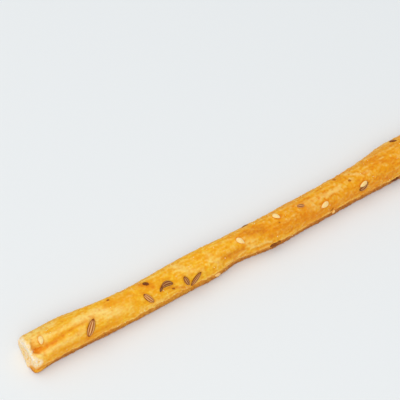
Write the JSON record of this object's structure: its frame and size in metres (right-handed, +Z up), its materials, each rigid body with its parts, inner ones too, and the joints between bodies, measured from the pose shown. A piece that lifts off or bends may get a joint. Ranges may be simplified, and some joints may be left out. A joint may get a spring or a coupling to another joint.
{
  "type": "salted breadstick with caraway and sesame",
  "caption": "Slender hand-rolled breadstick with square-cut ends, an open fold at one end and a flat underside it rests on.",
  "frame": {"origin": "middle of the stick's box, on the flat underside", "axes": "+X along the stick from the end with the open fold to the other end, +Y to the back, +Z up"},
  "size_m": [0.1848, 0.0152, 0.0116],
  "materials": {
    "crust": "golden baked crust, paler along the stretched ridges, brown along the lower rim, with cream crumb at the cut ends",
    "caraway_seed": "ribbed brown seed with paler ribs",
    "sesame_seed": "ivory seed, slightly glossy",
    "salt_grain": "fine white salt, slightly see-through",
    "toasted_bits": "dark toasted crumbs and seed fragments"
  },
  "bodies": {
    "root": {"breadstick": "crust"}
  },
  "joints": []
}
